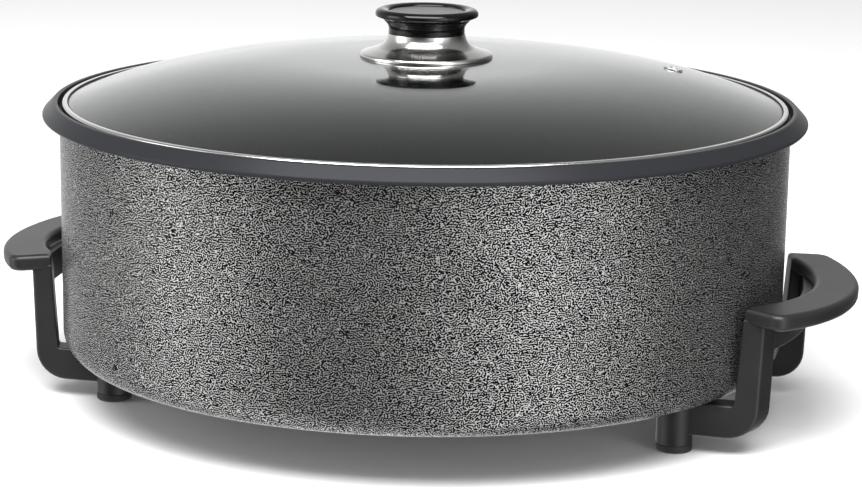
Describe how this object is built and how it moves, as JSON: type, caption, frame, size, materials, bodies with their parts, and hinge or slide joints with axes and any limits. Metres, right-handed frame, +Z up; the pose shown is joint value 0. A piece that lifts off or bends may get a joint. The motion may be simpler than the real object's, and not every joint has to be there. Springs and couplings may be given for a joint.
{
  "type": "electric skillet",
  "caption": "Deep round electric skillet with a domed lift-off glass lid, side handles that carry its feet, a cast-in heating element and a plug-in control inlet.",
  "frame": {"origin": "centre of the pan, on the surface that the feet stand on", "axes": "+Z up; X through both handles, with the appliance inlet at -X"},
  "size_m": [0.4854, 0.421, 0.2183],
  "materials": {
    "hammertone_casting": "hammertone stove enamel on cast aluminium",
    "phenolic": "satin moulded",
    "pad_rubber": "matt moulded",
    "screw_steel": "zinc plated",
    "sheath_steel": "drawn and annealed",
    "mineral_filling": "packed powder",
    "resistance_wire": "oxidised",
    "plated_pins": "nickel plated",
    "seal_ceramic": "unglazed",
    "guide_brass": "turned",
    "insulating_plate": "unglazed",
    "shroud_steel": "pressed sheet",
    "tempered_glass": "clear, smoked by what lies behind",
    "polished_steel": "polished stainless",
    "liner_rubber": "matt",
    "knob_phenolic": "polished moulding",
    "disc_plastic": "fine matt",
    "silicone": "matt"
  },
  "bodies": {
    "base": {"pan": "hammertone_casting", "handle_left": "phenolic", "handle_right": "phenolic", "foot_pads": "pad_rubber", "handle_screws": "screw_steel", "handle_washers": "screw_steel", "element_sheath": "sheath_steel", "element_filling": "mineral_filling", "element_coil": "resistance_wire", "terminal_pins": "plated_pins", "end_seals": "seal_ceramic", "probe_guide": "guide_brass", "inlet_plate": "insulating_plate", "inlet_shroud": "shroud_steel", "inlet_screws": "screw_steel"},
    "lid": {"lid_glass": "tempered_glass", "lid_band": "polished_steel", "lid_liner": "liner_rubber", "vent_eyelet": "polished_steel", "knob_grip": "knob_phenolic", "knob_disc": "disc_plastic", "knob_guard": "polished_steel", "knob_insert": "guide_brass", "knob_screw": "screw_steel", "knob_washer": "screw_steel", "knob_seals": "silicone"}
  },
  "joints": [
    {"name": "lid_lift", "type": "slide", "parent": "base", "child": "lid", "axis": [0, 0, 1], "range_m": [0, 0.12]}
  ]
}
